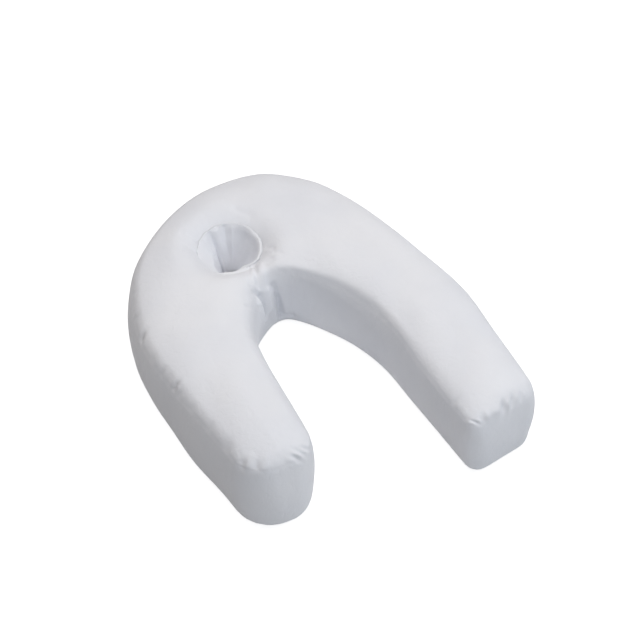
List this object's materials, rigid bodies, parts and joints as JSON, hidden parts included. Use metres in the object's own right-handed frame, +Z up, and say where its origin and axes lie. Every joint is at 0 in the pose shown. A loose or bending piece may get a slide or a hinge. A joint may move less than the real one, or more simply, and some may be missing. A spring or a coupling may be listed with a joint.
{
  "type": "side sleeper pillow",
  "caption": "Stuffed horseshoe pillow for side sleepers, with a boxed edge, rounded leg ends and an ear well lined with a gathered cloth sleeve.",
  "frame": {"origin": "on the floor, under the middle of the pillow's outline", "axes": "+Z up as it lies on its back, +Y towards the arch, so both legs point to -Y; +X towards the longer leg"},
  "size_m": [0.4102, 0.5486, 0.117],
  "materials": {
    "cover_cloth": "smooth white cotton, slightly bluish, matt with a faint sheen",
    "sleeve_cloth": "the same white cotton, gathered"
  },
  "bodies": {
    "root": {"pillow_body": "cover_cloth", "ear_sleeve": "sleeve_cloth"}
  },
  "joints": []
}
